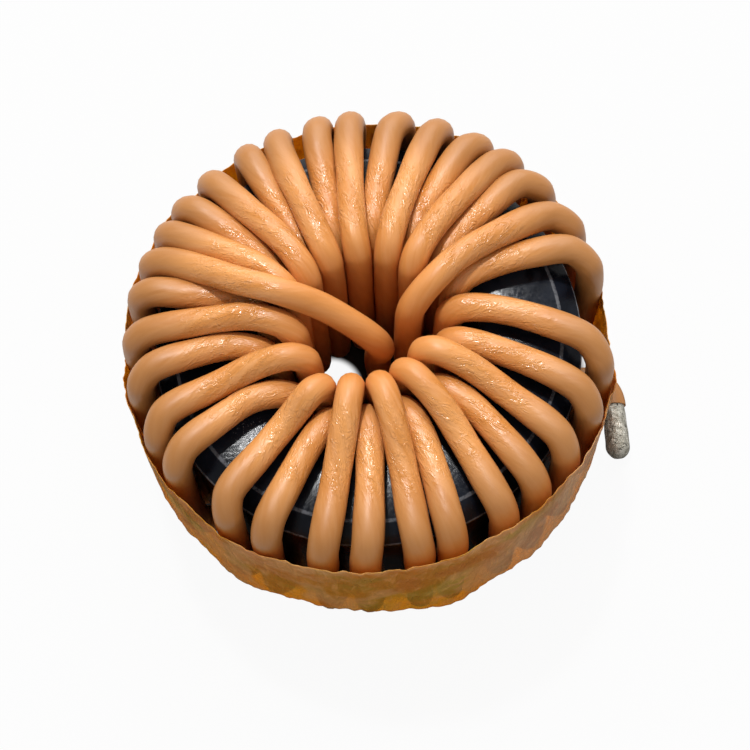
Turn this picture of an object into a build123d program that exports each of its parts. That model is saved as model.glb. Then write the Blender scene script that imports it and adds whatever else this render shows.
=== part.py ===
# Ring-core inductor, lying flat on its winding.
# A black coated ring core carries one long winding of thick insulated litz wire. The 31 turns
# lie side by side round the outside and in two layers in the bore, which is too small for
# one. The last turn crosses over its neighbours, dives down the middle of the hole and leaves
# under the coil. A film of amber tape binds the outer wall. Both wire ends are tinned.
# Millimetres. The ring's axis is Z, the origin is on the axis in the plane that the coil
# rests on, and bearings are degrees about Z, anticlockwise from +X, seen from above.

from build123d import *
import math
import os

# Ring core
core_outer_d = 46.7
core_inner_d = 24.1
core_height = 18.0
bevel_width = 2.3          # bevel round each outer edge, measured outwards
bevel_drop = 1.5           # and its height
bore_edge_r = 1.2          # rounding of both edges of the bore

# Insulated litz wire and its tinned ends
wire_d = 3.1
wire_give = 0.04           # how far the soft insulation is pressed in where turns crowd
wire_sides = 8             # the wire's section is an octagon inside its circle
bend_steps = 3             # straight steps in a quarter bend
tinned_d = 2.9
tinned_length = 6.6
tinned_tip_r = 1.3         # rounding of the tip

# How the wire lies on the core
wall_gap = 0.6             # between the core's outer wall and the turns
slack = 0.45               # how much further out the turns stand where they sag
slack_bearing = 55.0       # and the bearing where they do so most
face_gap = 0.75            # between the core's flat faces and the turns
rim_gap = 0.3              # the same at the rim of the bore
bore_gap = 0.05            # between the wall of the bore and the first layer
crossing_gap = 0.35        # between the first layer and a wire that crosses over it
outer_bend_r = 3.4         # centre line of the bend at the outer edge
inner_bend_r = 2.6         # the same at the bore
dive_bend_r = 5.0          # the same for a turn that dives far into the hole
upper_rise = 2.5           # how much higher the upper layer crosses the rim
upper_step = 2.0           # a turn further in than this is in the upper layer
dive_step = 5.0            # and one further in than this dives

# Amber tape round the outer wall
tape_thickness = 0.15
tape_gap = 0.12            # between the turns and the tape
tape_low_edge = 7.2        # height of the lower edge
tape_high_edge = 24.3      # mean height of the upper edge, which runs a little askew
tape_askew = 3.6           # how far the upper edge rises and falls
tape_peak_bearing = 285.0  # where it is highest

# The two leads on the ground
lead_turn_r = 3.5          # bend of each lead beside the coil
lead_start_y = 1.6         # line on which the end lead leaves from under the coil
lead_under = [(9.0, -0.6), (15.0, 1.1)]     # points of the end lead under the coil
start_lead = [(3.5, 17.0, 0.0), (3.0, 9.0, 0.0), (1.1, 2.5, 0.3), (0.0, 0.0, 2.4)]

# The turns in the order they were wound, clockwise from above. Each has its bearing up the
# outer wall, where its run over the top face starts, at the rim of the bore and down the
# bore, and then how far it lies inside the first layer there.
TURNS = [
    (149, 149, 148, 162, 2.4), (141, 140, 140, 151, 0), (131, 131, 131, 140, 2.6),
    (119, 120, 122, 129, 0), (110, 112, 115, 117, 2.6), (99, 101, 104, 106, 0),
    (91, 92, 95, 94, 2.6), (78, 81, 84, 83, 0), (68, 70, 73, 71, 2.6),
    (57, 60, 64, 60, 0), (48, 51, 54, 49, 2.6), (37, 43, 45, 41, 0),
    (24, 31, 34, 20, 5.8), (13, 20, 27, 24.5, 0), (-13, -6, 9, 10, 1.6),
    (-25, -20, -12, -11, 2.0), (-38, -34, -26, -33, 4.0), (-49, -47, -41, -46, 1.2),
    (-59, -58, -52, -58.5, 4.1), (-73, -72, -67, -71, 1.2), (-81, -81, -79, -83, 3.8),
    (-94, -93, -92, -94, 1.0), (-104, -104, -105, -107, 3.4),
    (-118, -119, -118, -114, 0), (-128, -132, -131, -126.5, 2.1),
    (-146, -149, -151, -138, 0), (-155, -160, -162, -149, 3.0),
    (-169, -173, -177, -162, 0.3), (-181, -183, -187, -172, 2.9),
    (-193, -194, -197, -184, 0.3),
]

# The last turn: its bearing up the wall and at the start of its run, then points of its own.
# Over the others they are radius, bearing and height above the core's mid-height, and down
# the hole they are x, y and that height.
LAST_TURN = (-202, -203)
LAST_OVER = [(18.0, -202, 13.3), (13.8, -199, 14.9), (9.6, -197, 16.1), (6.0, -199, 14.4)]
LAST_DIVE = [(-1.8, 0.5, 11.6), (1.2, -0.9, 8.4), (1.4, -0.1, 4.0), (0.9, 1.6, -1.0),
             (0.9, 2.2, -6.5), (1.6, 0.3, -11.5), (4.6, -1.2, -14.1)]

# Worked out from the sizes above
wire_r = wire_d / 2
core_r = core_outer_d / 2
bore_r = core_inner_d / 2
wall_r = core_r + wall_gap + wire_r                 # centre line of the turns outside
layer_1_r = bore_r - bore_gap - wire_r              # and in the bore, first layer
run_height = core_height / 2 + face_gap + wire_r    # centre line over the faces, from mid-height
rim_height = core_height / 2 + rim_gap + wire_r
run_start_r = wall_r - outer_bend_r
crossing_height = rim_height + wire_d + crossing_gap
mid_z = crossing_height + wire_r                    # the crossing wire lies on the ground
ground_z = wire_r
lead_x = wall_r + lead_turn_r                       # the end lead's line beside the coil


def on_ring(radius, bearing, height):
    """A point from its radius, its bearing and its height above the core's mid-height."""
    angle = math.radians(bearing)
    return Vector(radius * math.cos(angle), radius * math.sin(angle), mid_z + height)


def blend(start, end, share):
    """The value a share of the way from start to end."""
    return start + (end - start) * share


def stand_out(bearing):
    """How much further out the turns stand at this bearing than at the front."""
    return slack * max(0.0, math.cos(math.radians(bearing - slack_bearing))) ** 2


def quarter(centre_r, centre_height, bend_r, side, inward):
    """Corners of a quarter bend from the wall to the face, as radius and height.

    Its straight steps touch the true curve from outside. side is 1 on top and -1 below.
    """
    half = math.radians(90 / bend_steps / 2)
    corners = []
    for step in range(bend_steps):
        angle = half * (2 * step + 1)
        out = bend_r * math.cos(angle) / math.cos(half)
        rise = bend_r * math.sin(angle) / math.cos(half)
        corners.append((centre_r - out if inward else centre_r + out,
                        side * (centre_height + rise)))
    return corners


def lift(radius, bearing, step_in, neighbours):
    """How far an upper turn is raised at this radius to lie on its lower neighbours."""
    highest = 0.0
    for other_bearing, other_step in neighbours:
        apart = 2 * radius * abs(math.sin(math.radians(bearing - other_bearing) / 2))
        if other_step < upper_step < step_in and apart < wire_d:
            highest = max(highest, math.sqrt(wire_d ** 2 - apart ** 2))
    return min(highest, upper_rise)


def bore_bend(step_in):
    """Bend radius at the bore, and the radius and height of the bend's centre on top."""
    bend_r = dive_bend_r if step_in > dive_step else inner_bend_r
    rise = upper_rise if step_in > upper_step else 0.0
    return bend_r, layer_1_r - step_in + bend_r, rim_height + rise - bend_r


def run_bearing(track, radius):
    """Bearing of a turn where its run crosses this radius."""
    wall, start, rim, bore, step_in = track
    bend_r, centre_r, centre_height = bore_bend(step_in)
    if radius >= centre_r:
        return blend(start, rim, (run_start_r - radius) / (run_start_r - centre_r))
    return blend(rim, bore, min(1, (centre_r - radius) / bend_r))


def wall_bend(wall, start, side):
    """Points of the bend at the outer edge, from the wall to the start of the run."""
    points = []
    corners = quarter(run_start_r, run_height - outer_bend_r, outer_bend_r, side, False)
    for index, (radius, height) in enumerate(corners):
        bearing = blend(wall, start, index / (bend_steps - 1))
        points.append(on_ring(radius + stand_out(bearing), bearing, height))
    return points


def face_run(track, neighbours, side):
    """Centre line from the outer wall over one face into the bore.

    track holds the bearings at the wall, at the start of the run, at the rim and in the
    bore, and the step inwards. Below the core the upper layer hangs down to the ground.
    """
    wall, start, rim, bore, step_in = track
    points = wall_bend(wall, start, side)
    sag = 0.0
    if side < 0 and step_in > upper_step:
        sag = crossing_height - rim_height - upper_rise
    bend_r, centre_r, centre_height = bore_bend(step_in)
    for share in (0.42, 0.78):
        radius = blend(run_start_r, centre_r, share)
        bearing = blend(start, rim, share)
        beside = [(run_bearing(other, radius), other[4]) for other in neighbours]
        height = blend(run_height, rim_height, share) + lift(radius, bearing, step_in, beside)
        points.append(on_ring(radius, bearing, side * (height + sag * share)))
    corners = quarter(centre_r, centre_height + sag, bend_r, side, True)
    for index, (radius, height) in enumerate(reversed(corners)):
        points.append(on_ring(radius, blend(rim, bore, (index + 1) / bend_steps), height))
    return points


def under_track(turn, next_wall):
    """The track of a turn's way back under the core, from its bore to the next turn's wall."""
    bore = turn[3]
    return (next_wall, blend(bore, next_wall, 0.85), blend(bore, next_wall, 0.15), bore, turn[4])


def winding_route():
    """Centre line of the whole wire, from one tinned end to the other."""
    first = TURNS[0][0]
    points = [on_ring(wall_r + out, first - back, up - crossing_height)
              for out, back, up in start_lead]
    walls = [turn[0] for turn in TURNS] + [LAST_TURN[0]]
    under = [under_track(turn, walls[index + 1]) for index, turn in enumerate(TURNS)]
    for index, turn in enumerate(TURNS):
        near = [other for other in (index - 1, index + 1) if 0 <= other < len(TURNS)]
        points += face_run(turn, [TURNS[other] for other in near], 1)
        points += reversed(face_run(under[index], [under[other] for other in near], -1))
    points += wall_bend(*LAST_TURN, 1)
    points += [on_ring(*place) for place in LAST_OVER]
    points += [Vector(x, y, mid_z + height) for x, y, height in LAST_DIVE]
    return points + end_lead_route()


def end_lead_route():
    """The last stretch on the ground: out under the coil, then round beside it."""
    turn_x = lead_x - lead_turn_r
    points = [Vector(x, y, ground_z) for x, y in lead_under]
    half = math.radians(90 / bend_steps / 2)
    reach = lead_turn_r / math.cos(half)
    for step in range(bend_steps):
        angle = math.pi / 2 - half * (2 * step + 1)
        points.append(Vector(turn_x + reach * math.cos(angle),
                             lead_start_y - lead_turn_r + reach * math.sin(angle), ground_z))
    points.append(Vector(lead_x, lead_start_y - lead_turn_r - 0.3, ground_z))
    return points


def tube(points, radius, sides):
    """A solid wire with a many-sided section, mitred at each point of its centre line."""
    heading = (points[1] - points[0]).normalized()
    across = heading.cross(Vector(0, 0, 1)).normalized()
    up = across.cross(heading)
    ring = []
    for side in range(sides):
        angle = math.tau * (side + 0.5) / sides
        ring.append(points[0] + across * (radius * math.cos(angle))
                    + up * (radius * math.sin(angle)))
    faces = [Face(Wire.make_polygon(ring))]
    for index in range(1, len(points)):
        heading = (points[index] - points[index - 1]).normalized()
        mitre = heading
        if index + 1 < len(points):
            mitre = heading + (points[index + 1] - points[index]).normalized()
        next_ring = [corner + heading * ((points[index] - corner).dot(mitre)
                                         / heading.dot(mitre)) for corner in ring]
        for side in range(sides):
            after = (side + 1) % sides
            faces.append(Face(Wire.make_polygon(
                [ring[side], ring[after], next_ring[after], next_ring[side]])))
        ring = next_ring
    faces.append(Face(Wire.make_polygon(ring)))
    return Solid(Shell(faces))


def make_core():
    """Ring core: bevelled outside, rounded at the bore."""
    half = core_height / 2
    section = [(bore_r, -half), (core_r - bevel_width, -half), (core_r, -half + bevel_drop),
               (core_r, half - bevel_drop), (core_r - bevel_width, half), (bore_r, half)]
    outline = make_face(Polyline([(r, 0, mid_z + z) for r, z in section], close=True))
    core = revolve(outline, Axis.Z, 360)
    rims = [edge for edge in core.edges().filter_by(GeomType.CIRCLE)
            if abs(edge.radius - bore_r) < 0.01]
    return fillet(rims, min(bore_edge_r, (core_r - bevel_width - bore_r) * 0.45))


def make_tape():
    """The tape: a film drawn tight round the turns, flat from each turn to the next."""
    inner_r = wall_r + wire_r + tape_gap
    bearings = [turn[0] for turn in TURNS] + [LAST_TURN[0]]
    inner = [on_ring(inner_r + stand_out(bearing), bearing, 0) for bearing in bearings]
    outer = [on_ring(inner_r + tape_thickness + stand_out(bearing), bearing, 0)
             for bearing in bearings]
    film = make_face(Polyline([(p.X, p.Y) for p in outer], close=True))
    film -= make_face(Polyline([(p.X, p.Y) for p in inner], close=True))
    band = Pos(0, 0, tape_low_edge) * extrude(film, tape_high_edge + tape_askew - tape_low_edge)
    slope = math.degrees(math.atan2(tape_askew, wall_r))
    peak = math.radians(tape_peak_bearing)
    cut = Plane(origin=(0, 0, tape_high_edge), z_dir=(-math.sin(math.radians(slope))
                * math.cos(peak), -math.sin(math.radians(slope)) * math.sin(peak),
                math.cos(math.radians(slope))))
    return split(band, bisect_by=cut, keep=Keep.BOTTOM)


def make_tinned_end(start, heading):
    """A stripped wire end, soaked with solder, with a rounded tip."""
    place = Plane(origin=start, z_dir=heading)
    pin = Solid.make_cylinder(tinned_d / 2, tinned_length, place)
    tip = pin.edges().sort_by_distance(start + heading * tinned_length)[0]
    far = [edge for edge in pin.edges().filter_by(GeomType.CIRCLE)
           if (edge.arc_center - start).length > tinned_length / 2]
    return fillet(far or [tip], min(tinned_tip_r, tinned_d / 2 * 0.9))


def main():
    route = winding_route()
    parts = {
        "ring_core": make_core(),
        "winding": tube(route, wire_r - wire_give, wire_sides),
        "tape_band": make_tape(),
        "tinned_end_side": make_tinned_end(route[-1], (route[-1] - route[-2]).normalized()),
        "tinned_end_back": make_tinned_end(route[0], (route[0] - route[1]).normalized()),
    }
    length = sum((b - a).length for a, b in zip(route, route[1:]))
    section = wire_sides / 2 * (wire_r - wire_give) ** 2 * math.sin(math.tau / wire_sides)
    print(f"wire {length:.0f} mm long, volume {parts['winding'].volume:.0f},"
          f" section times length {section * length:.0f}")
    os.makedirs("parts", exist_ok=True)
    for name, shape in parts.items():
        shape.label = name
        export_step(shape, f"parts/{name}.step")


main()
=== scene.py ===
# %% [markdown]
# # A ring-core inductor in Blender
#
# This lesson dresses a finished CAD model of an inductor: a black coated ring core that
# carries one long winding of thick insulated wire, with a film of amber tape round the
# outside and two tinned wire ends. The CAD model gives every place and size. Here the parts
# get their smooth shapes, their finishes, a floor, light and a camera.

# %% Load the CAD model
import math
import bmesh
import bpy
from mathutils import Matrix, Vector, noise


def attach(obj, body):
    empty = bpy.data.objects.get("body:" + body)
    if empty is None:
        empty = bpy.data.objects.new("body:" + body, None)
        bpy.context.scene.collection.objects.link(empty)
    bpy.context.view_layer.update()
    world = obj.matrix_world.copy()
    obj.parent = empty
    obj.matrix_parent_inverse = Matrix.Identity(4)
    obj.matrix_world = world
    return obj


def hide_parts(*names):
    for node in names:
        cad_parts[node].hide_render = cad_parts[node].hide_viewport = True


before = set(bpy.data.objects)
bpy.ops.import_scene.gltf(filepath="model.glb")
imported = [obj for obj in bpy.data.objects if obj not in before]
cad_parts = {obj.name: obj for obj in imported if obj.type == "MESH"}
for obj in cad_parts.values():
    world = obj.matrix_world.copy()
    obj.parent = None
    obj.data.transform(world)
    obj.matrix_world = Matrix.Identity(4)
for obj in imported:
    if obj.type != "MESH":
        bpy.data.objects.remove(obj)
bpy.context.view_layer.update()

MM = 0.001
print("CAD nodes:", ", ".join(sorted(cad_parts)))

# %% [markdown]
# ## Camera
#
# The camera is worth having first, because every later choice is looked at through it. The
# photograph looks down at the coil from the front, about 70 degrees above the table, with a
# long lens and the hand tilted a few degrees. A camera's matrix has its right, up and
# backward directions as columns, so the tilt is written as a turn of the first two.

# %% Camera
CORE_MID = Vector((0, 0, 15.85 * MM))       # the middle of the core
CAMERA_ELEVATION = math.radians(69.6)
CAMERA_DISTANCE = 200 * MM
CAMERA_TILT = math.radians(3.5)
PHOTO_SIDE = 750                            # pixels
FOCAL_PIXELS = 1763
CORE_MID_PIXEL = (369.8, 362.8)

camera_data = bpy.data.cameras.new("camera")
camera_data.sensor_width = 36
camera_data.lens = FOCAL_PIXELS / PHOTO_SIDE * camera_data.sensor_width
camera_data.shift_x = (PHOTO_SIDE / 2 - CORE_MID_PIXEL[0]) / PHOTO_SIDE
camera_data.shift_y = (CORE_MID_PIXEL[1] - PHOTO_SIDE / 2) / PHOTO_SIDE
camera = bpy.data.objects.new("camera", camera_data)
bpy.context.scene.collection.objects.link(camera)
bpy.context.scene.camera = camera

level_right = Vector((1, 0, 0))
level_up = Vector((0, math.sin(CAMERA_ELEVATION), math.cos(CAMERA_ELEVATION)))
backward = level_right.cross(level_up)
right = level_right * math.cos(CAMERA_TILT) - level_up * math.sin(CAMERA_TILT)
up = level_right * math.sin(CAMERA_TILT) + level_up * math.cos(CAMERA_TILT)
camera.matrix_world = Matrix.Translation(CORE_MID + backward * CAMERA_DISTANCE) @ Matrix(
    (right, up, backward)).transposed().to_4x4()
print("lens", round(camera_data.lens, 1), "mm")

# %% [markdown]
# ## The line of the wire
#
# The wire goes up the outer wall, over the top, down the bore and back underneath, 31 times.
# The bore is too narrow for all the turns side by side, so every second one lies on top of
# its neighbours there. The route is the CAD model's own: each turn has its bearings and its
# layer, and the corners of its bends. A NURBS curve with those corners as control points
# rounds them into one smooth line, which is how a springy wire lies.

# %% Sizes of the core and the wire, in millimetres
core_outer_r = 46.7 / 2
core_bore_r = 24.1 / 2
core_height = 18.0
wire_r = 1.55
wire_d = 2 * wire_r
wall_gap = 0.6                              # from the core's outer wall to the wire
bore_gap = 0.05                             # from the bore to the wire
face_gap = 0.75                             # from the face to the wire at the outer bend
rim_gap = 0.3                               # from the face to the wire at the bore
under_gap = 0.35                            # spare height below the lowest layer
wall_r = core_outer_r + wall_gap + wire_r   # line of the turns on the outer wall
slack = 0.45                                # how much further out they stand where they sag
slack_bearing = 55.0                        # the bearing where they do so most
layer_1_r = core_bore_r - bore_gap - wire_r # line of the first layer in the bore
upper_rise = 2.5                            # how much higher the upper layer crosses the rim
outer_bend_r = 3.4
inner_bend_r = 2.6
dive_bend_r = 5.0                           # bend of a turn that dives far into the hole
dive_step = 5.0                             # mm inwards from which a turn dives
upper_step = 2.0                            # mm inwards from which it is in the upper layer
bend_steps = 3                              # corners in a quarter bend
face_shares = (0.42, 0.78)                  # places of the corners between the two bends
run_height = core_height / 2 + face_gap + wire_r
rim_height = core_height / 2 + rim_gap + wire_r
run_start_r = wall_r - outer_bend_r
crossing_height = rim_height + wire_d + under_gap
mid_z = crossing_height + wire_r
ground_z = wire_r
lead_turn_r = 3.5
lead_x = wall_r + lead_turn_r
print("the wire's line:", round(wall_r, 2), "mm from the axis outside,",
      round(layer_1_r, 2), "mm in the bore")

# %% [markdown]
# The turns are listed in the order they were wound, clockwise from above. Each has its
# bearing on the outer wall, where its run over the top starts, at the rim of the bore and in
# the bore, and then how many millimetres inside the first layer it lies there. The last turn
# crosses over the others and dives down the middle of the hole, so it has points of its own.

# %% The turns
TURNS = [
    (149, 149, 148, 162, 2.4), (141, 140, 140, 151, 0), (131, 131, 131, 140, 2.6),
    (119, 120, 122, 129, 0), (110, 112, 115, 117, 2.6), (99, 101, 104, 106, 0),
    (91, 92, 95, 94, 2.6), (78, 81, 84, 83, 0), (68, 70, 73, 71, 2.6),
    (57, 60, 64, 60, 0), (48, 51, 54, 49, 2.6), (37, 43, 45, 41, 0),
    (24, 31, 34, 20, 5.8), (13, 20, 27, 24.5, 0), (-13, -6, 9, 10, 1.6),
    (-25, -20, -12, -11, 2.0), (-38, -34, -26, -33, 4.0), (-49, -47, -41, -46, 1.2),
    (-59, -58, -52, -58.5, 4.1), (-73, -72, -67, -71, 1.2), (-81, -81, -79, -83, 3.8),
    (-94, -93, -92, -94, 1.0), (-104, -104, -105, -107, 3.4),
    (-118, -119, -118, -114, 0), (-128, -132, -131, -126.5, 2.1),
    (-146, -149, -151, -138, 0), (-155, -160, -162, -149, 3.0),
    (-169, -173, -177, -162, 0.3), (-181, -183, -187, -172, 2.9),
    (-193, -194, -197, -184, 0.3),
]
LAST_TURN = (-202, -203)
LAST_OVER = [(18.0, -202, 13.3), (13.8, -199, 14.9), (9.6, -197, 16.1), (6.0, -199, 14.4)]
LAST_DIVE = [(-1.8, 0.5, 11.6), (1.2, -0.9, 8.4), (1.4, -0.1, 4.0), (0.9, 1.6, -1.0),
             (0.9, 2.2, -6.5), (1.6, 0.3, -11.5), (4.6, -1.2, -14.1)]
print(len(TURNS) + 1, "turns")

# %% [markdown]
# A few helpers make points of these bearings. A quarter bend is three corners on a circle.
# A turn of the upper layer is lifted over its neighbours only as far as they are in its way.
# The way back under the core is the same run mirrored, and leads to the next turn's bearing.


# %% The route of the wire
def on_ring(radius, bearing, height):
    """A point from its radius, its bearing and its height above the core's middle."""
    angle = math.radians(bearing)
    return Vector((radius * math.cos(angle), radius * math.sin(angle), mid_z + height))


def between(start, end, share):
    """A number or a point part of the way from start to end."""
    return start + (end - start) * share


def stand_out(bearing):
    """How much further out the wire stands at this bearing than at the front."""
    return slack * max(0.0, math.cos(math.radians(bearing - slack_bearing))) ** 2


def bend_corners(centre_r, centre_height, across, rise, side, inward):
    """Corners of a quarter bend from the wall to the face, as radius and height."""
    half = math.radians(90 / bend_steps / 2)
    corners = []
    for step in range(bend_steps):
        angle = half * (2 * step + 1)
        out = across * math.cos(angle) / math.cos(half)
        corners.append((centre_r - out if inward else centre_r + out,
                        side * (centre_height + rise * math.sin(angle) / math.cos(half))))
    return corners


def lift_over(radius, bearing, step_in, neighbours):
    """How far a turn is raised at this radius to lie on its lower neighbours."""
    highest = 0.0
    for other_bearing, other_step in neighbours:
        apart = 2 * radius * abs(math.sin(math.radians(bearing - other_bearing) / 2))
        if other_step < upper_step < step_in and apart < wire_d:
            highest = max(highest, math.sqrt(wire_d ** 2 - apart ** 2))
    return min(highest, upper_rise)


def bore_bend(step_in):
    """Bend radius at the bore, and the radius and height of the bend's centre on top."""
    bend_r = dive_bend_r if step_in > dive_step else inner_bend_r
    rise = upper_rise if step_in > upper_step else 0
    return bend_r, layer_1_r - step_in + bend_r, rim_height + rise - bend_r


def run_bearing(track, radius):
    """Bearing of a turn where its run crosses this radius."""
    wall, start, rim, bore, step_in = track
    bend_r, centre_r, centre_height = bore_bend(step_in)
    if radius >= centre_r:
        return between(start, rim, (run_start_r - radius) / (run_start_r - centre_r))
    return between(rim, bore, min(1, (centre_r - radius) / bend_r))


def over_face(track, neighbours, side):
    """The way from the outer wall over one face into the bore."""
    wall, start, rim, bore, step_in = track
    points = []
    corners = bend_corners(run_start_r, run_height - outer_bend_r, outer_bend_r,
                           outer_bend_r, side, False)
    for index, (radius, height) in enumerate(corners):
        bearing = between(wall, start, index / (bend_steps - 1))
        points.append(on_ring(radius + stand_out(bearing), bearing, height))
    sag = 0.0
    if side < 0 and step_in > upper_step:
        sag = crossing_height - rim_height - upper_rise
    bend_r, centre_r, centre_height = bore_bend(step_in)
    for share in face_shares:
        radius = between(run_start_r, centre_r, share)
        bearing = between(start, rim, share)
        beside = [(run_bearing(other, radius), other[4]) for other in neighbours]
        height = (between(run_height, rim_height, share)
                  + lift_over(radius, bearing, step_in, beside))
        points.append(on_ring(radius, bearing, side * (height + sag * share)))
    corners = bend_corners(centre_r, centre_height + sag, bend_r, bend_r, side, True)
    for index, (radius, height) in enumerate(reversed(corners)):
        points.append(on_ring(radius, between(rim, bore, (index + 1) / bend_steps), height))
    return points


def way_back(turn, next_wall):
    """The track under the core, from a turn's place in the bore to the next one's wall."""
    bore = turn[3]
    return (next_wall, between(bore, next_wall, 0.85), between(bore, next_wall, 0.15),
            bore, turn[4])


def end_lead():
    """The last stretch: out under the coil along the table, then round beside it."""
    out_y = 1.6
    turn_x = lead_x - lead_turn_r
    points = [Vector((9.0, -0.6, ground_z)), Vector((15.0, 1.1, ground_z))]
    half = math.radians(90 / bend_steps / 2)
    reach = lead_turn_r / math.cos(half)
    for step in range(bend_steps):
        angle = math.pi / 2 - half * (2 * step + 1)
        points.append(Vector((turn_x + reach * math.cos(angle),
                              out_y - lead_turn_r + reach * math.sin(angle), ground_z)))
    points.append(Vector((lead_x, out_y - lead_turn_r - 0.3, ground_z)))
    return points


def wire_route():
    """All the control points of the wire, from the start lead to the last one."""
    first = TURNS[0][0]
    points = [on_ring(lead_x, first - 17, -crossing_height),
              on_ring(lead_x - 0.5, first - 9, -crossing_height),
              on_ring(lead_x - 2.4, first - 2.5, -crossing_height + 0.3),
              on_ring(wall_r, first, -crossing_height + 2.4)]
    walls = [turn[0] for turn in TURNS] + [LAST_TURN[0]]
    backs = [way_back(turn, walls[index + 1]) for index, turn in enumerate(TURNS)]
    for index, turn in enumerate(TURNS):
        near = [other for other in (index - 1, index + 1) if 0 <= other < len(TURNS)]
        points += over_face(turn, [TURNS[other] for other in near], 1)
        points += reversed(over_face(backs[index], [backs[other] for other in near], -1))
    corners = bend_corners(run_start_r, run_height - outer_bend_r, outer_bend_r,
                           outer_bend_r, 1, False)
    for index, (radius, height) in enumerate(corners):
        bearing = between(*LAST_TURN, index / (bend_steps - 1))
        points.append(on_ring(radius + stand_out(bearing), bearing, height))
    points += [on_ring(*place) for place in LAST_OVER]
    points += [Vector((x, y, mid_z + height)) for x, y, height in LAST_DIVE]
    return points + end_lead()


route = wire_route()
print(len(route), "control points")

# %% [markdown]
# ## The winding
#
# A curve with a round bevel is the simplest way to a wire. It is made a mesh here, for two
# reasons. The jacket of the real wire is a thin film over twisted strands, so its surface
# swells and dips a little, and its finish has streaks that follow the wire round every bend.
# A mesh can be pushed in and out, and can carry an attribute that says how far along and how
# far round the wire each point lies.


# %% A wire as a mesh
def smooth_wire(name, points, radius, steps, bevel_steps):
    """A round wire along a NURBS line with these control points, in millimetres."""
    curve = bpy.data.curves.new(name + "_line", "CURVE")
    curve.dimensions = "3D"
    curve.resolution_u = steps
    curve.bevel_depth = radius * MM
    curve.bevel_resolution = bevel_steps
    spline = curve.splines.new("NURBS")
    spline.points.add(len(points) - 1)
    for point, place in zip(spline.points, points):
        point.co = (*(place * MM), 1)
    spline.order_u = 3
    spline.use_endpoint_u = True
    holder = bpy.data.objects.new(name + "_line", curve)
    bpy.context.scene.collection.objects.link(holder)
    depsgraph = bpy.context.evaluated_depsgraph_get()
    mesh = bpy.data.meshes.new_from_object(holder.evaluated_get(depsgraph))
    bpy.data.objects.remove(holder)
    piece = bpy.data.objects.new(name, mesh)
    bpy.context.scene.collection.objects.link(piece)
    return piece


def close_ends(piece):
    """Closes the ends of a tube with flat faces that don't disturb its smooth shading."""
    shape = bmesh.new()
    shape.from_mesh(piece.data)
    ends = [edge for edge in shape.edges if edge.is_boundary]
    caps = bmesh.ops.holes_fill(shape, edges=ends, sides=0)["faces"]
    for cap in caps:
        cap.smooth = True
    bmesh.ops.split_edges(shape, edges=ends)
    print(piece.name, "is closed by", len(caps), "caps")
    shape.to_mesh(piece.data)
    shape.free()


THINNER = 0.02                              # mm, leaves room for the swelling
AROUND = 16                                 # corners in one ring of the tube
BEVEL_STEPS = (AROUND - 4) // 2             # what makes that many corners
LINE_STEPS = 8                              # rings between two control points
winding = smooth_wire("winding_wire", route, wire_r - THINNER, LINE_STEPS, BEVEL_STEPS)
rings = len(winding.data.vertices) // AROUND
print("winding:", len(winding.data.vertices), "points in", rings, "rings,",
      len(winding.data.polygons), "faces")

# %% [markdown]
# The tube's rings lie one after the other, so adding up the distances between their middles
# gives the way along the wire. The marks turn slowly round it, as the twisted strands do.
# Where the wire bends over the outer edge of the core, it is pressed a little wider.

# %% Mark the way along and round the wire, and swell the jacket a little
STRAND_LAY = 34.0                           # mm along the wire for one turn of the strands
SWELL = 0.08                                # mm
SWELL_STEP = (0.5, 0.5, 0.16)               # swellings per mm across and along the wire
SPREAD = 0.10                               # share by which it flattens over the outer edge
EDGE_START_R = 17.0                         # mm, where the flattening begins
EDGE_START_HEIGHT = 3.0                     # mm above the core's middle
EDGE_EASE = 4.0                             # mm over which it comes in
PATTERN_START = (route[-1] - route[0]).length       # any length would do
marks = winding.data.attributes.new("strand", "FLOAT_VECTOR", "POINT")
corners = winding.data.vertices
travelled = PATTERN_START
last_middle = None
for ring in range(rings):
    members = corners[ring * AROUND:(ring + 1) * AROUND]
    middle = sum((corner.co for corner in members), Vector()) / AROUND
    if last_middle is not None:
        travelled += (middle - last_middle).length / MM
    last_middle = middle
    past_r = middle.to_2d().length / MM - EDGE_START_R
    past_height = middle.z / MM - mid_z - EDGE_START_HEIGHT
    spread = SPREAD
    for past in (past_r, past_height):
        spread *= min(1.0, max(0.0, past) / EDGE_EASE)
    sideways = Vector((-middle.y, middle.x, 0)).normalized()
    for side, corner in enumerate(members):
        angle = math.tau * (side / AROUND + travelled / STRAND_LAY)
        mark = Vector((wire_r * math.cos(angle), wire_r * math.sin(angle), travelled))
        marks.data[corner.index].vector = mark
        swell = noise.noise(mark * Vector(SWELL_STEP))
        outward = (corner.co - middle).normalized()
        corner.co += outward * (swell * SWELL * MM)
        corner.co += sideways * ((corner.co - middle).dot(sideways) * spread)
winding.data.shade_smooth()
close_ends(winding)
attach(winding, "root")
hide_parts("winding")
print("wire", round(travelled - PATTERN_START), "mm long")

# %% [markdown]
# ## The ring core
#
# A powder core is a plain ring with a bevel at each outer edge and a rounded bore, dipped in
# a thick coating that rounds every edge a little. A profile spun about the axis gives the
# ring, and bmesh's own bevel rounds its edges. The profile starts as one edge, extruded from
# corner to corner, so no list of faces has to be worked out.

# %% The core
BEVEL_WIDTH = 2.3                           # mm
BEVEL_DROP = 1.5
BORE_ROUNDING = 1.2
EDGE_ROUNDING = 0.22
SPIN_STEPS = 144
ON_RIM = 0.02                               # mm, how near a corner lies to a rim it is on
LEVEL = 1e-7                                # metres, no difference in height
SAME_RADIUS = 1e-6                          # metres


def new_piece(name, shape):
    """Turns a bmesh into an object in the scene."""
    mesh = bpy.data.meshes.new(name)
    shape.to_mesh(mesh)
    shape.free()
    piece = bpy.data.objects.new(name, mesh)
    bpy.context.scene.collection.objects.link(piece)
    return piece


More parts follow.
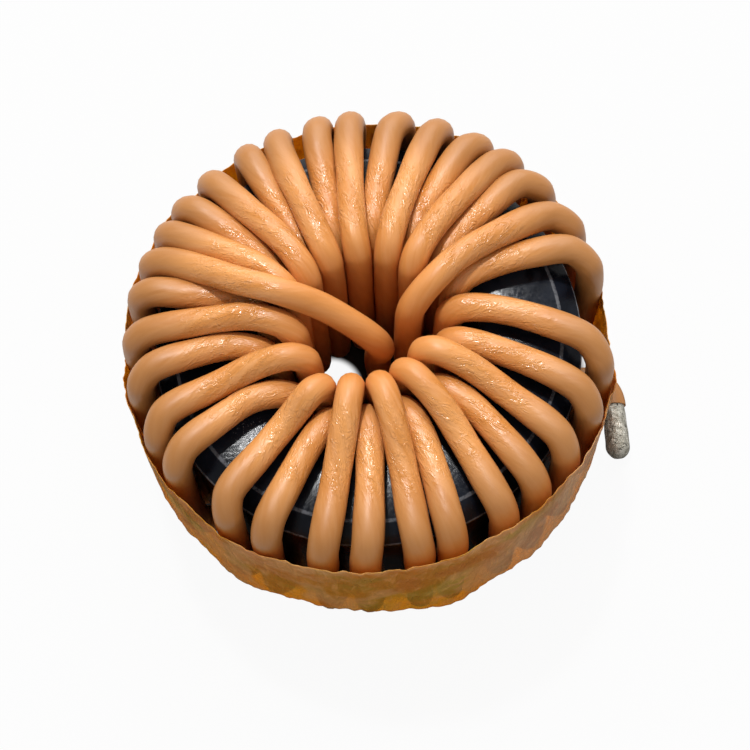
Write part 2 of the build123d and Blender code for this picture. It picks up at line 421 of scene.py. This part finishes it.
def spun_ring(name, profile, roundings):
    """A ring from a closed profile of (radius, height) in mm, with its rims rounded."""
    shape = bmesh.new()
    start = shape.verts.new((profile[0][0] * MM, 0, profile[0][1] * MM))
    last = start
    for radius, height in profile[1:]:
        grown = bmesh.ops.extrude_vert_indiv(shape, verts=[last])["verts"][0]
        grown.co = (radius * MM, 0, height * MM)
        last = grown
    shape.edges.new((last, start))
    bmesh.ops.spin(shape, geom=shape.verts[:] + shape.edges[:], cent=(0, 0, 0),
                   axis=(0, 0, 1), angle=math.tau, steps=SPIN_STEPS, use_merge=True)
    bmesh.ops.recalc_face_normals(shape, faces=shape.faces[:])
    for rims, size in roundings:
        edges = [e for e in shape.edges
                 if all(any(abs(math.hypot(v.co.x, v.co.y) / MM - r) < ON_RIM
                            and abs(v.co.z / MM - z) < ON_RIM for r, z in rims)
                        for v in e.verts)
                 and abs(e.verts[0].co.z - e.verts[1].co.z) < LEVEL
                 and abs(e.verts[0].co.to_2d().length
                         - e.verts[1].co.to_2d().length) < SAME_RADIUS]
        bmesh.ops.bevel(shape, geom=edges, offset=size * MM, segments=4, profile=0.5,
                        affect="EDGES", material=-1, clamp_overlap=True)
    for face in shape.faces:
        face.smooth = True
    return new_piece(name, shape)


half_core = core_height / 2
core_profile = [
    (core_bore_r, mid_z - half_core), (core_outer_r - BEVEL_WIDTH, mid_z - half_core),
    (core_outer_r, mid_z - half_core + BEVEL_DROP),
    (core_outer_r, mid_z + half_core - BEVEL_DROP),
    (core_outer_r - BEVEL_WIDTH, mid_z + half_core), (core_bore_r, mid_z + half_core)]
bore_rims = [core_profile[0], core_profile[5]]
core = spun_ring("coated_core", core_profile,
                 [(bore_rims, BORE_ROUNDING), (core_profile[1:5], EDGE_ROUNDING)])
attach(core, "root")
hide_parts("ring_core")
print("core:", len(core.data.polygons), "faces")

# %% [markdown]
# ## The tape
#
# The tape is a thin amber film pulled tight round the outer wall. It touches each turn and
# runs nearly flat to the next, so from above its edge is a polygon with soft corners, and
# the slack in it stands as small upright wrinkles. Its upper edge wanders up and down. The
# band starts as a circle that is extruded upwards in rows, and every point is then moved to
# the radius and the height that its bearing asks for. Solidify gives the film its thickness.

# %% Where the film goes
TAPE_GAP = 0.13                             # mm, from the turns to the middle of the band
TAPE_R = wall_r + wire_r + TAPE_GAP
TAPE_LOW = 7.25                             # mm above the table
FILM = 0.06                                 # mm
TAPE_COLUMNS = 496
TAPE_ROWS = 30
TAPE_PULL = 0.1                             # mm by which the film is drawn in towards them
RAGGED = 0.35                               # mm, how far the upper edge is uneven
FRILL = 0.25                                # mm, how far the lower edge is uneven
CREASE = 0.07                               # mm, depth of the slanting creases
WRINKLE = 0.10                              # mm, depth of the wrinkles; twice that at the edges
HELD = 0.4                                  # share by which the upper edge stands off less
# The upper edge: bearing and height above the core's middle.
TAPE_TOP = [(-147, 8.3), (-126, 9.0), (-93, 11.0), (-63, 12.1), (-49, 12.0), (-14, 6.3),
            (13, 3.4), (23, 5.6), (60, 6.0), (105, 5.4), (124, 5.3), (146, 6.2), (160, 5.5),
            (173, 3.6), (190, 6.4)]
# The lower edge: bearing, how much higher it hangs, and how far the film stands off there.
TAPE_HEM = [(0, 0, 0), (25, 0, 0), (60, 0, 0.2), (100, 0, 0.1), (124, 0, 0.8), (133, 0, 0),
            (145, 0, 0.8), (154, 0, 0.2), (163, 0, 1.0), (171, 0, 0.8), (178, 0, 0),
            (186, 0, 0.4), (196, 0, 0), (208, 0, 0.2), (222, -0.5, 0.25), (234, -0.8, 0.3),
            (246, 1.2, 0), (262, 1.9, 0), (276, 0.6, 0), (288, -1.2, 0.1), (299, 0.8, 0),
            (311, -0.8, 0.1), (326, -0.2, 0.15), (341, 0.8, 0), (348, -0.5, 0.45), (357, 0, 0)]
wall_bearings = sorted([turn[0] % 360 for turn in TURNS] + [LAST_TURN[0] % 360])


def eased(marks, bearing, column):
    """A value at this bearing from a ring of marks, eased from each mark to the next."""
    closed = marks + [(marks[0][0] + 360, *marks[0][1:])]
    turned = (bearing - marks[0][0]) % 360 + marks[0][0]
    for before, after in zip(closed, closed[1:]):
        if before[0] <= turned <= after[0]:
            share = (turned - before[0]) / (after[0] - before[0])
            return between(before[column], after[column], share * share * (3 - 2 * share))
    return marks[0][column]


def chord_radius(bearing):
    """Radius of the straight film between the two turns beside this bearing."""
    ring = [wall_bearings[-1] - 360] + wall_bearings + [wall_bearings[0] + 360]
    for left, right_wall in zip(ring, ring[1:]):
        if left <= bearing <= right_wall:
            half = math.radians(right_wall - left) / 2
            off = math.radians(bearing - (left + right_wall) / 2)
            return (TAPE_R + stand_out(bearing)) * math.cos(half) / math.cos(off)
    return TAPE_R


print("the film goes round", len(wall_bearings), "turns")

# %% [markdown]
# Each row is extruded from the one below it. While the rows are made, a corner's height is
# only the number of its row; the second loop then gives each corner its real place, with
# the ragged edges, the upright wrinkles and the slanting creases from noise.

# %% The film
shape = bmesh.new()
bmesh.ops.create_circle(shape, segments=TAPE_COLUMNS, radius=TAPE_R * MM)
rim = shape.edges[:]
for row in range(TAPE_ROWS):
    grown = bmesh.ops.extrude_edge_only(shape, edges=rim)["geom"]
    rim = [item for item in grown if isinstance(item, bmesh.types.BMEdge)]
    for corner in {v for edge in rim for v in edge.verts}:
        corner.co.z += 1                    # for now, the height is the number of the row
for corner in shape.verts:
    bearing = math.degrees(math.atan2(corner.co.y, corner.co.x)) % 360
    row_share = corner.co.z / TAPE_ROWS
    ragged = noise.noise(Vector((bearing * 0.22, 3.0, 0))) * RAGGED
    top = mid_z + eased(TAPE_TOP, bearing, 1) + ragged
    frill = noise.noise(Vector((bearing * 0.15, 7.0, 0))) * FRILL
    bottom = TAPE_LOW + eased(TAPE_HEM, bearing, 1) + frill
    height = between(bottom, top, row_share)
    wrinkle = noise.noise(Vector((bearing * 0.55, height * 0.09, 1.0)))
    crease = noise.noise(Vector((bearing * 0.2 + height * 0.25, height * 0.3, 9.0)))
    looseness = WRINKLE + WRINKLE * abs(2 * row_share - 1) ** 2
    stand_off = eased(TAPE_HEM, bearing, 2) * (1 - HELD * row_share)
    radius = (chord_radius(bearing) - TAPE_PULL + stand_off + wrinkle * looseness
              + crease * CREASE)
    angle = math.radians(bearing)
    corner.co = (radius * math.cos(angle) * MM, radius * math.sin(angle) * MM, height * MM)
for face in shape.faces:
    face.smooth = True
bmesh.ops.recalc_face_normals(shape, faces=shape.faces[:])
tape = new_piece("tape_film", shape)
thickness = tape.modifiers.new("film", "SOLIDIFY")
thickness.thickness = FILM * MM
thickness.offset = 0
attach(tape, "root")
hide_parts("tape_band")
print("tape:", len(tape.data.polygons), "faces")

# %% [markdown]
# ## The tinned ends
#
# Each end of the wire is stripped and dipped in solder, so the strands show as shallow
# twisted grooves under a grey skin with a few pits, and the tip is rounded. The same smooth
# wire is used, with its rings drawn in at the tip and its surface pressed into grooves.

# %% Two tinned ends
TINNED_R = 1.45                             # mm
TINNED_LENGTH = 6.6
TIP_LENGTH = 1.6
TINNED_AROUND = 48                          # corners in one ring
GROOVES = 11                                # strands that show round the end
GROOVE_TWIST = 1.1                          # radians in a millimetre


def tinned_end(name, start, heading, node):
    """A soldered wire end of the CAD length, from start along heading, in millimetres."""
    stations = [start + heading * (TINNED_LENGTH * share) for share in (0, 0.3, 0.6, 0.8, 1)]
    around = TINNED_AROUND
    piece = smooth_wire(name, stations, TINNED_R, 12, (around - 4) // 2)
    for ring in range(len(piece.data.vertices) // around):
        members = piece.data.vertices[ring * around:(ring + 1) * around]
        middle = sum((corner.co for corner in members), Vector()) / around
        along = (middle / MM - start).dot(heading)
        left = TINNED_LENGTH - along
        tip = min(1.0, max(left, 0.0) / TIP_LENGTH)
        taper = 0.06 + 0.94 * math.sqrt(max(0.0, 1 - (1 - tip) ** 2))
        taper *= 0.88 + 0.12 * math.sin(math.pi * (0.1 + 0.6 * along / TINNED_LENGTH))
        for side, corner in enumerate(members):
            angle = math.tau * side / around
            groove = abs(math.sin((angle * GROOVES + along * GROOVE_TWIST) / 2)) - 0.7
            lump = noise.noise(corner.co * 700)
            size = TINNED_R * taper * (0.975 + 0.03 * groove + 0.07 * lump)
            corner.co = middle + (corner.co - middle).normalized() * (size * MM)
    piece.data.shade_smooth()
    close_ends(piece)
    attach(piece, "root")
    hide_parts(node)
    return piece


side_end = tinned_end("tinned_tip_side", route[-1], (route[-1] - route[-2]).normalized(),
                      "tinned_end_side")
back_end = tinned_end("tinned_tip_back", route[0], (route[0] - route[1]).normalized(),
                      "tinned_end_back")
print("tinned ends:", len(side_end.data.polygons), "faces each")

# %% [markdown]
# ## Finishes
#
# Every finish is built from noise textures. The jacket reads the strand attribute, so its
# streaks follow the wire; the core, the tape and the solder read Object coordinates. Sizes
# in the textures are given in features per millimetre.


# %% Small helpers for materials
def new_material(name):
    material = bpy.data.materials.new(name)
    material.use_nodes = True
    nodes = material.node_tree.nodes
    links = material.node_tree.links
    return material, nodes, links, nodes["Principled BSDF"]


def scaled(nodes, links, vector, factors):
    """The vector with each of its parts multiplied."""
    node = nodes.new("ShaderNodeVectorMath")
    node.operation = "MULTIPLY"
    links.new(vector, node.inputs[0])
    node.inputs[1].default_value = factors
    return node.outputs["Vector"]


def patches(nodes, links, vector, factors, detail=3, rough=0.5, warp=0.0):
    """Noise between 0 and 1, its features set by the factors."""
    node = nodes.new("ShaderNodeTexNoise")
    links.new(scaled(nodes, links, vector, factors), node.inputs["Vector"])
    node.inputs["Scale"].default_value = 1
    node.inputs["Detail"].default_value = detail
    node.inputs["Roughness"].default_value = rough
    node.inputs["Distortion"].default_value = warp
    return node.outputs["Fac"]


def ramp(nodes, links, value, low, high, to_low=0.0, to_high=1.0):
    """Eases a value from one range into another."""
    node = nodes.new("ShaderNodeMapRange")
    node.interpolation_type = "SMOOTHSTEP"
    links.new(value, node.inputs["Value"])
    for socket, number in (("From Min", low), ("From Max", high),
                           ("To Min", to_low), ("To Max", to_high)):
        node.inputs[socket].default_value = number
    return node.outputs["Result"]


def sum_of(nodes, links, first, second, operation="ADD"):
    """Two values put together. The second may be a plain number."""
    node = nodes.new("ShaderNodeMath")
    node.operation = operation
    links.new(first, node.inputs[0])
    if isinstance(second, (int, float)):
        node.inputs[1].default_value = second
    else:
        links.new(second, node.inputs[1])
    return node.outputs[0]


def tint(nodes, links, share, first, second):
    """A colour between two, each a colour or the result of another tint."""
    node = nodes.new("ShaderNodeMix")
    node.data_type = "RGBA"
    links.new(share, node.inputs["Factor"])
    for socket, colour in ((node.inputs[6], first), (node.inputs[7], second)):
        if isinstance(colour, tuple):
            socket.default_value = (*colour, 1)
        else:
            links.new(colour, socket)
    return node.outputs[2]


def bumped(nodes, links, height, depth):
    """A normal from a height between 0 and 1 that stands for a depth in millimetres."""
    node = nodes.new("ShaderNodeBump")
    node.inputs["Strength"].default_value = 1
    node.inputs["Distance"].default_value = depth * MM
    links.new(height, node.inputs["Height"])
    return node.outputs["Normal"]


def place_in_mm(nodes, links):
    """Object coordinates in millimetres."""
    node = nodes.new("ShaderNodeTexCoord")
    return scaled(nodes, links, node.outputs["Object"], (1 / MM, 1 / MM, 1 / MM))


def ring_radius(nodes, links, place):
    """Distance from the ring's axis, in millimetres, and the height."""
    parts = nodes.new("ShaderNodeSeparateXYZ")
    links.new(place, parts.inputs[0])
    flat = nodes.new("ShaderNodeCombineXYZ")
    links.new(parts.outputs["X"], flat.inputs["X"])
    links.new(parts.outputs["Y"], flat.inputs["Y"])
    length = nodes.new("ShaderNodeVectorMath")
    length.operation = "LENGTH"
    links.new(flat.outputs[0], length.inputs[0])
    return length.outputs["Value"], parts.outputs["Z"]


def away_from(nodes, links, place, centre):
    """Distance from a point, in millimetres."""
    away = nodes.new("ShaderNodeVectorMath")
    away.operation = "DISTANCE"
    links.new(place, away.inputs[0])
    away.inputs[1].default_value = centre
    return away.outputs["Value"]


def spot(nodes, links, place, centre, reach, soft):
    """1 within reach of a point, falling to 0 over a soft edge, in millimetres."""
    away = away_from(nodes, links, place, centre)
    return ramp(nodes, links, away, reach - soft, reach + soft, 1.0, 0.0)


# %% [markdown]
# The jacket is a tan plastic film. Halfway between the rim and the hole the film is glossy
# and crinkled over the strands, and picks up small peach highlights. Towards the outer edge
# it is drawn smooth and is more matt, and its colour is painted deeper there as painted
# shade, because the light on it would wash it out. In the bore its colour is painted redder,
# as painted shade where little light comes. The crinkles are noise folded over at its
# middle, which makes soft facets with sharp creases between them, as in a crumpled film.

# %% Jacket of the wire
TAN = (0.57, 0.215, 0.044)
WARM_TAN = (0.68, 0.29, 0.08)
STREAK_TAN = (0.72, 0.34, 0.13)
OUTER_SHADE_BROWN = (0.34, 0.142, 0.037)
BORE_SHADE_ORANGE = (0.62, 0.23, 0.05)
MATT, GLOSSY = 0.44, 0.19                   # roughness of the smooth and the crinkled film
CRINKLE_DEPTH = 0.12                        # mm
jacket, nodes, links, shader = new_material("wire_jacket")
strand = nodes.new("ShaderNodeAttribute")
strand.attribute_name = "strand"
along_wire = strand.outputs["Vector"]
place = place_in_mm(nodes, links)
radius, height = ring_radius(nodes, links, place)
streaks = patches(nodes, links, along_wire, (1.7, 1.7, 0.28), 3, 0.55, 0.4)
wavy = patches(nodes, links, along_wire, (1.5, 1.5, 0.7), 2, 0.6, 1.0)
folds = patches(nodes, links, along_wire, (0.8, 0.8, 0.4), 2, 0.5, 0.6)
folded = nodes.new("ShaderNodeMath")
folded.operation = "ABSOLUTE"
links.new(sum_of(nodes, links, wavy, -0.5), folded.inputs[0])
facets = sum_of(nodes, links, folded.outputs[0], 3.0, "MULTIPLY")
zone = sum_of(nodes, links, ramp(nodes, links, radius, 21.5, 17.5),
              ramp(nodes, links, radius, 8.0, 12.0), "MULTIPLY")
above = ramp(nodes, links, height, mid_z + 8.0, mid_z + 10.5)
zone = sum_of(nodes, links, zone, above, "MULTIPLY")
loose = sum_of(nodes, links, zone, ramp(nodes, links, folds, 0.35, 0.6, 0.25, 1.0), "MULTIPLY")
tone = patches(nodes, links, along_wire, (0.5, 0.5, 0.12), 2)
colour = tint(nodes, links, ramp(nodes, links, tone, 0.35, 0.65), TAN, WARM_TAN)
colour = tint(nodes, links, ramp(nodes, links, streaks, 0.35, 0.7, 0.0, 0.5), colour,
              STREAK_TAN)
# Painted shade: the colour turns deeper brown towards the outer bends.
outer = ramp(nodes, links, radius, 16.5, 24.5, 0.0, 0.75)
colour = tint(nodes, links, outer, colour, OUTER_SHADE_BROWN)
# Painted shade: the colour turns redder down the bore, where little light comes.
bore_shade = ramp(nodes, links, radius, 7.0, 12.0, 0.5, 0.0)
colour = tint(nodes, links, bore_shade, colour, BORE_SHADE_ORANGE)
links.new(colour, shader.inputs["Base Color"])
gloss = sum_of(nodes, links, ramp(nodes, links, loose, 0, 1, MATT, GLOSSY),
               ramp(nodes, links, streaks, 0.3, 0.7, -0.04, 0.06))
links.new(gloss, shader.inputs["Roughness"])
shader.inputs["Specular IOR Level"].default_value = 0.5
relief = sum_of(nodes, links, sum_of(nodes, links, facets, loose, "MULTIPLY"),
                sum_of(nodes, links, streaks, 0.22, "MULTIPLY"))
relief = sum_of(nodes, links, relief, sum_of(nodes, links, folds, 0.5, "MULTIPLY"))
links.new(bumped(nodes, links, relief, CRINKLE_DEPTH), shader.inputs["Normal"])
winding.data.materials.append(jacket)
print("jacket on", winding.name)

# %% [markdown]
# The core's coating is a glossy black lacquer with a blue cast. Its rims carry a thin grey
# line of painted highlight, broken up by the scuffs, and the flat faces carry a few scuffs.
# Two places show more: a grey patch in the widest gap between turns, a painted reflection,
# and a cluster of bright specks near the front left, which are painted glints.

# %% Coating of the core
BLACK = (0.003, 0.004, 0.007)
BLUE_BLACK = (0.010, 0.013, 0.021)
SCUFF_GREY = (0.06, 0.065, 0.075)
REFLECTION_GREY = (0.016, 0.019, 0.026)
GLINT_GREY = (0.55, 0.56, 0.58)
RIM_HIGHLIGHT_GREY = (0.16, 0.165, 0.18)
REFLECTION_SPOT = (17.0, 6.2, mid_z + half_core)         # mm, on the core's top face
GLINT_CLUSTER = (-12.8, -11.2, mid_z + half_core)
coating, nodes, links, shader = new_material("core_coating")
place = place_in_mm(nodes, links)
radius, height = ring_radius(nodes, links, place)
scuffs = patches(nodes, links, place, (2.4, 2.4, 2.4), 5, 0.7)
specks = patches(nodes, links, place, (4.5, 4.5, 4.5), 3, 0.7)
smears = patches(nodes, links, place, (0.22, 0.22, 0.22), 3, 0.5, 0.8)
from_middle = nodes.new("ShaderNodeMath")
from_middle.operation = "ABSOLUTE"
links.new(sum_of(nodes, links, height, -mid_z), from_middle.inputs[0])
side_height = from_middle.outputs[0]


def rim_line(rim_radius, rim_height_mm, width):
    """1 on the rim at this radius and height, falling to 0 beside it."""
    out = sum_of(nodes, links, radius, -rim_radius)
    rise = sum_of(nodes, links, side_height, -rim_height_mm)
    square = sum_of(nodes, links, sum_of(nodes, links, out, out, "MULTIPLY"),
                    sum_of(nodes, links, rise, rise, "MULTIPLY"))
    return ramp(nodes, links, square, (width * 0.3) ** 2, width ** 2, 1.0, 0.0)


# The rim lines are painted highlight, broken up by the scuff noise.
top_rim = rim_line(core_outer_r - BEVEL_WIDTH, half_core, 0.28)
low_rim = rim_line(core_outer_r, half_core - BEVEL_DROP, 0.24)
rims = sum_of(nodes, links, top_rim, low_rim, "MAXIMUM")
rim_highlight = sum_of(nodes, links, rims, ramp(nodes, links, scuffs, 0.3, 0.6, 0.3, 1.0), "MULTIPLY")


# The printed radii are those of the painted highlight lines.
print("highlit rims", round(core_outer_r - BEVEL_WIDTH, 2), "and", core_outer_r,
      "mm from the axis")

# %% [markdown]
# The colours are laid on one after the other, from the lacquer to the marks, the painted
# reflection, the painted glints and the painted rim highlight that lie on it. The scuffs
# also set how sharp the lacquer mirrors and how uneven it is.

# %% Colour and gloss of the coating
# A painted reflection: a grey patch in the widest gap between turns.
painted_reflection = sum_of(nodes, links, spot(nodes, links, place, REFLECTION_SPOT, 2.4, 0.3),
              ramp(nodes, links, smears, 0.36, 0.46), "MULTIPLY")
# Painted glints: bright specks in a cluster near the front left.
glint_mask = sum_of(nodes, links, spot(nodes, links, place, GLINT_CLUSTER, 1.8, 1.0),
                   ramp(nodes, links, specks, 0.60, 0.66), "MULTIPLY")
colour = tint(nodes, links, ramp(nodes, links, smears, 0.4, 0.62), BLACK, BLUE_BLACK)
colour = tint(nodes, links, ramp(nodes, links, scuffs, 0.64, 0.74, 0.0, 0.4), colour,
              SCUFF_GREY)
colour = tint(nodes, links, ramp(nodes, links, painted_reflection, 0, 1, 0.0, 0.8), colour, REFLECTION_GREY)
colour = tint(nodes, links, glint_mask, colour, GLINT_GREY)
# Painted highlight along the rims.
colour = tint(nodes, links, ramp(nodes, links, rim_highlight, 0, 1, 0.0, 0.75), colour, RIM_HIGHLIGHT_GREY)
links.new(colour, shader.inputs["Base Color"])
links.new(ramp(nodes, links, scuffs, 0.3, 0.75, 0.10, 0.26), shader.inputs["Roughness"])
shader.inputs["Specular IOR Level"].default_value = 0.15
scuff_depth = sum_of(nodes, links, scuffs, 0.2, "MULTIPLY")
links.new(bumped(nodes, links, sum_of(nodes, links, scuff_depth, smears), 0.07),
          shader.inputs["Normal"])
core.data.materials.append(coating)
print("coating on", core.name)

# %% [markdown]
# The tape is amber film, so what shows through it is tinted. It is more opaque where it is
# creased, and has foggy, olive and reddish patches where it has lifted or sticks to a turn.
# At the front right it is painted paler, a painted sheen. The film is a mixture of a matt
# surface and a plain tinted see-through one, because a film this thin doesn't bend light.

# %% Amber film
AMBER = (0.84, 0.38, 0.035)
FOGGY_AMBER = (0.82, 0.41, 0.11)
OLIVE = (0.56, 0.40, 0.035)
RED_AMBER = (0.82, 0.28, 0.06)
SHEEN_AMBER = (0.90, 0.56, 0.30)
CREASE_AMBER = (0.86, 0.40, 0.10)
AMBER_GLASS = (0.90, 0.48, 0.04, 1)         # what the film does to light that goes through
SHEEN_PLACE = (21.0, -17.0, 14.0)            # mm
amber, nodes, links, shader = new_material("amber_tape")
place = place_in_mm(nodes, links)
fog = patches(nodes, links, place, (0.16, 0.16, 0.12), 3, 0.5, 0.5)
crease = patches(nodes, links, place, (1.1, 1.1, 0.3), 3, 0.6, 0.6)
lifted = patches(nodes, links, place, (0.12, 0.12, 0.2), 2, 0.5)
colour = tint(nodes, links, ramp(nodes, links, fog, 0.44, 0.56), AMBER, FOGGY_AMBER)
colour = tint(nodes, links, ramp(nodes, links, lifted, 0.50, 0.64, 0.0, 0.6), colour, OLIVE)
colour = tint(nodes, links, ramp(nodes, links, lifted, 0.36, 0.48, 0.4, 0.0), colour,
              RED_AMBER)
# Painted sheen: the film is paler at the front right.
colour = tint(nodes, links, spot(nodes, links, place, SHEEN_PLACE, 11.0, 5.0), colour,
              SHEEN_AMBER)
colour = tint(nodes, links, ramp(nodes, links, crease, 0.52, 0.72, 0.0, 0.5), colour,
              CREASE_AMBER)
links.new(colour, shader.inputs["Base Color"])
cover = sum_of(nodes, links, ramp(nodes, links, fog, 0.42, 0.60, 0.50, 0.70),
               ramp(nodes, links, crease, 0.45, 0.75, 0.0, 0.2))
see_through = nodes.new("ShaderNodeBsdfTransparent")
see_through.inputs["Color"].default_value = AMBER_GLASS
film_mix = nodes.new("ShaderNodeMixShader")
links.new(cover, film_mix.inputs["Fac"])
links.new(see_through.outputs["BSDF"], film_mix.inputs[1])
links.new(shader.outputs["BSDF"], film_mix.inputs[2])
links.new(film_mix.outputs[0], nodes["Material Output"].inputs["Surface"])
shader.inputs["Roughness"].default_value = 0.24
shader.inputs["Specular IOR Level"].default_value = 0.25
links.new(bumped(nodes, links, crease, 0.25), shader.inputs["Normal"])
tape.data.materials.append(amber)
print("film on", tape.name)

# %% [markdown]
# Solder that has soaked into strands is a dull, uneven grey with dark pits.

# %% Solder
DULL_SOLDER = (0.34, 0.32, 0.26)
BRIGHT_SOLDER = (0.68, 0.65, 0.57)
PIT_DARK = (0.035, 0.033, 0.028)
solder, nodes, links, shader = new_material("tinned_wire")
place = place_in_mm(nodes, links)
grain = patches(nodes, links, place, (1.6, 1.6, 1.6), 5, 0.65)
pits = patches(nodes, links, place, (1.1, 1.1, 1.1), 4, 0.7, 0.8)
colour = tint(nodes, links, ramp(nodes, links, grain, 0.35, 0.7), DULL_SOLDER,
              BRIGHT_SOLDER)
colour = tint(nodes, links, ramp(nodes, links, pits, 0.56, 0.66), colour, PIT_DARK)
links.new(colour, shader.inputs["Base Color"])
links.new(ramp(nodes, links, pits, 0.4, 0.65, 0.36, 0.7), shader.inputs["Roughness"])
shader.inputs["Metallic"].default_value = 0.6
links.new(bumped(nodes, links, sum_of(nodes, links, grain, pits), 0.22),
          shader.inputs["Normal"])
for piece in (side_end, back_end):
    piece.data.materials.append(solder)
print("solder on both ends")

# %% [markdown]
# ## Floor and light
#
# The photograph has a white background. The floor is a matt pale sheet that takes the coil's
# shadow; what the camera and the glossy surfaces see of it is mostly plain white. Beneath the
# coil its colour is painted dark, a painted shadow, with a painted pool of light where it
# shows through the hole. The glossy surfaces see it painted dark a little further out, a
# painted reflection of the turns below them. Light comes from one large soft box low at the
# back, from a small bright one that gives the film on the turns its glints, and from an even
# pale world.

# %% Floor
FLOOR_SIDE = 3.0                            # metres
# Below: a painted pool of light on the floor seen through the hole, the middle and edge of a
# painted shadow under the coil, and where the painted dark reflection fades out.
LIT_FLOOR = (-5.0, 3.0, 0.0)                # mm, where light falls in through the hole
COIL_SHADOW_MIDDLE = (0.0, 2.6, 0.0)             # mm, middle of what the coil hides of the floor
SHADOW_EDGE = (25.4, 26.8)                 # mm from there, where the floor turns white
MIRRORED_FLOOR = (33.0, 44.0)               # mm from the middle, where reflections turn white
FLOOR_GLOW = 0.94                           # share of plain white in what is seen
shape = bmesh.new()
bmesh.ops.create_grid(shape, x_segments=2, y_segments=2, size=FLOOR_SIDE / 2)
floor = new_piece("floor", shape)
floor_white, nodes, links, shader = new_material("floor_white")
shader.inputs["Roughness"].default_value = 0.9
shader.inputs["Specular IOR Level"].default_value = 0.0
rays = nodes.new("ShaderNodeLightPath")
glossy = rays.outputs["Is Glossy Ray"]
seen = sum_of(nodes, links, rays.outputs["Is Camera Ray"], glossy, "MAXIMUM")
seen = sum_of(nodes, links, seen, rays.outputs["Is Transmission Ray"], "MAXIMUM")
white = nodes.new("ShaderNodeEmission")
white.inputs["Color"].default_value = (1, 1, 1, 1)
white.inputs["Strength"].default_value = 1
mixed = nodes.new("ShaderNodeMixShader")
place = place_in_mm(nodes, links)
unshadowed_floor = ramp(nodes, links, away_from(nodes, links, place, COIL_SHADOW_MIDDLE), *SHADOW_EDGE)
unshadowed_floor = sum_of(nodes, links, unshadowed_floor, spot(nodes, links, place, LIT_FLOOR, 3.7, 0.5),
                    "MAXIMUM")
mirrored = ramp(nodes, links, away_from(nodes, links, place, (0, 0, 0)), *MIRRORED_FLOOR)
not_glossy = ramp(nodes, links, glossy, 0, 1, 1.0, 0.0)
unshadowed_floor = sum_of(nodes, links,
                    sum_of(nodes, links, unshadowed_floor, not_glossy, "MULTIPLY"),
                    sum_of(nodes, links, mirrored, glossy, "MULTIPLY"))
# The floor's colour is painted dark in the painted shadow and, for glossy rays, in the painted
# reflection.
links.new(tint(nodes, links, unshadowed_floor, (0.06, 0.06, 0.06), (0.5, 0.5, 0.5)),
          shader.inputs["Base Color"])
seen = sum_of(nodes, links, seen, unshadowed_floor, "MULTIPLY")
links.new(sum_of(nodes, links, seen, FLOOR_GLOW, "MULTIPLY"), mixed.inputs["Fac"])
links.new(shader.outputs["BSDF"], mixed.inputs[1])
links.new(white.outputs["Emission"], mixed.inputs[2])
links.new(mixed.outputs[0], nodes["Material Output"].inputs["Surface"])
floor.data.materials.append(floor_white)
print("floor", FLOOR_SIDE, "m wide")


# %% Light
def soft_box(name, place, side, power):
    """A square area light that faces the core. Its place and side are in metres."""
    lamp = bpy.data.lights.new(name, "AREA")
    lamp.shape = "SQUARE"
    lamp.size = side
    lamp.energy = power
    holder = bpy.data.objects.new(name, lamp)
    holder.location = place
    holder.rotation_mode = "QUATERNION"
    holder.rotation_quaternion = (CORE_MID - Vector(place)).to_track_quat("-Z", "Y")
    bpy.context.scene.collection.objects.link(holder)


soft_box("back_light", (0.08, 0.58, 0.47), 0.70, 4.3)
soft_box("small_light", (-0.065, 0.225, 0.62), 0.05, 2.6)
world = bpy.data.worlds.new("studio")
world.use_nodes = True
bpy.context.scene.world = world
glow = world.node_tree.nodes["Background"]
glow.inputs["Color"].default_value = (1, 1, 1, 1)
glow.inputs["Strength"].default_value = 0.50
bpy.context.scene.view_settings.view_transform = "Standard"
print("2 lights and a pale world")
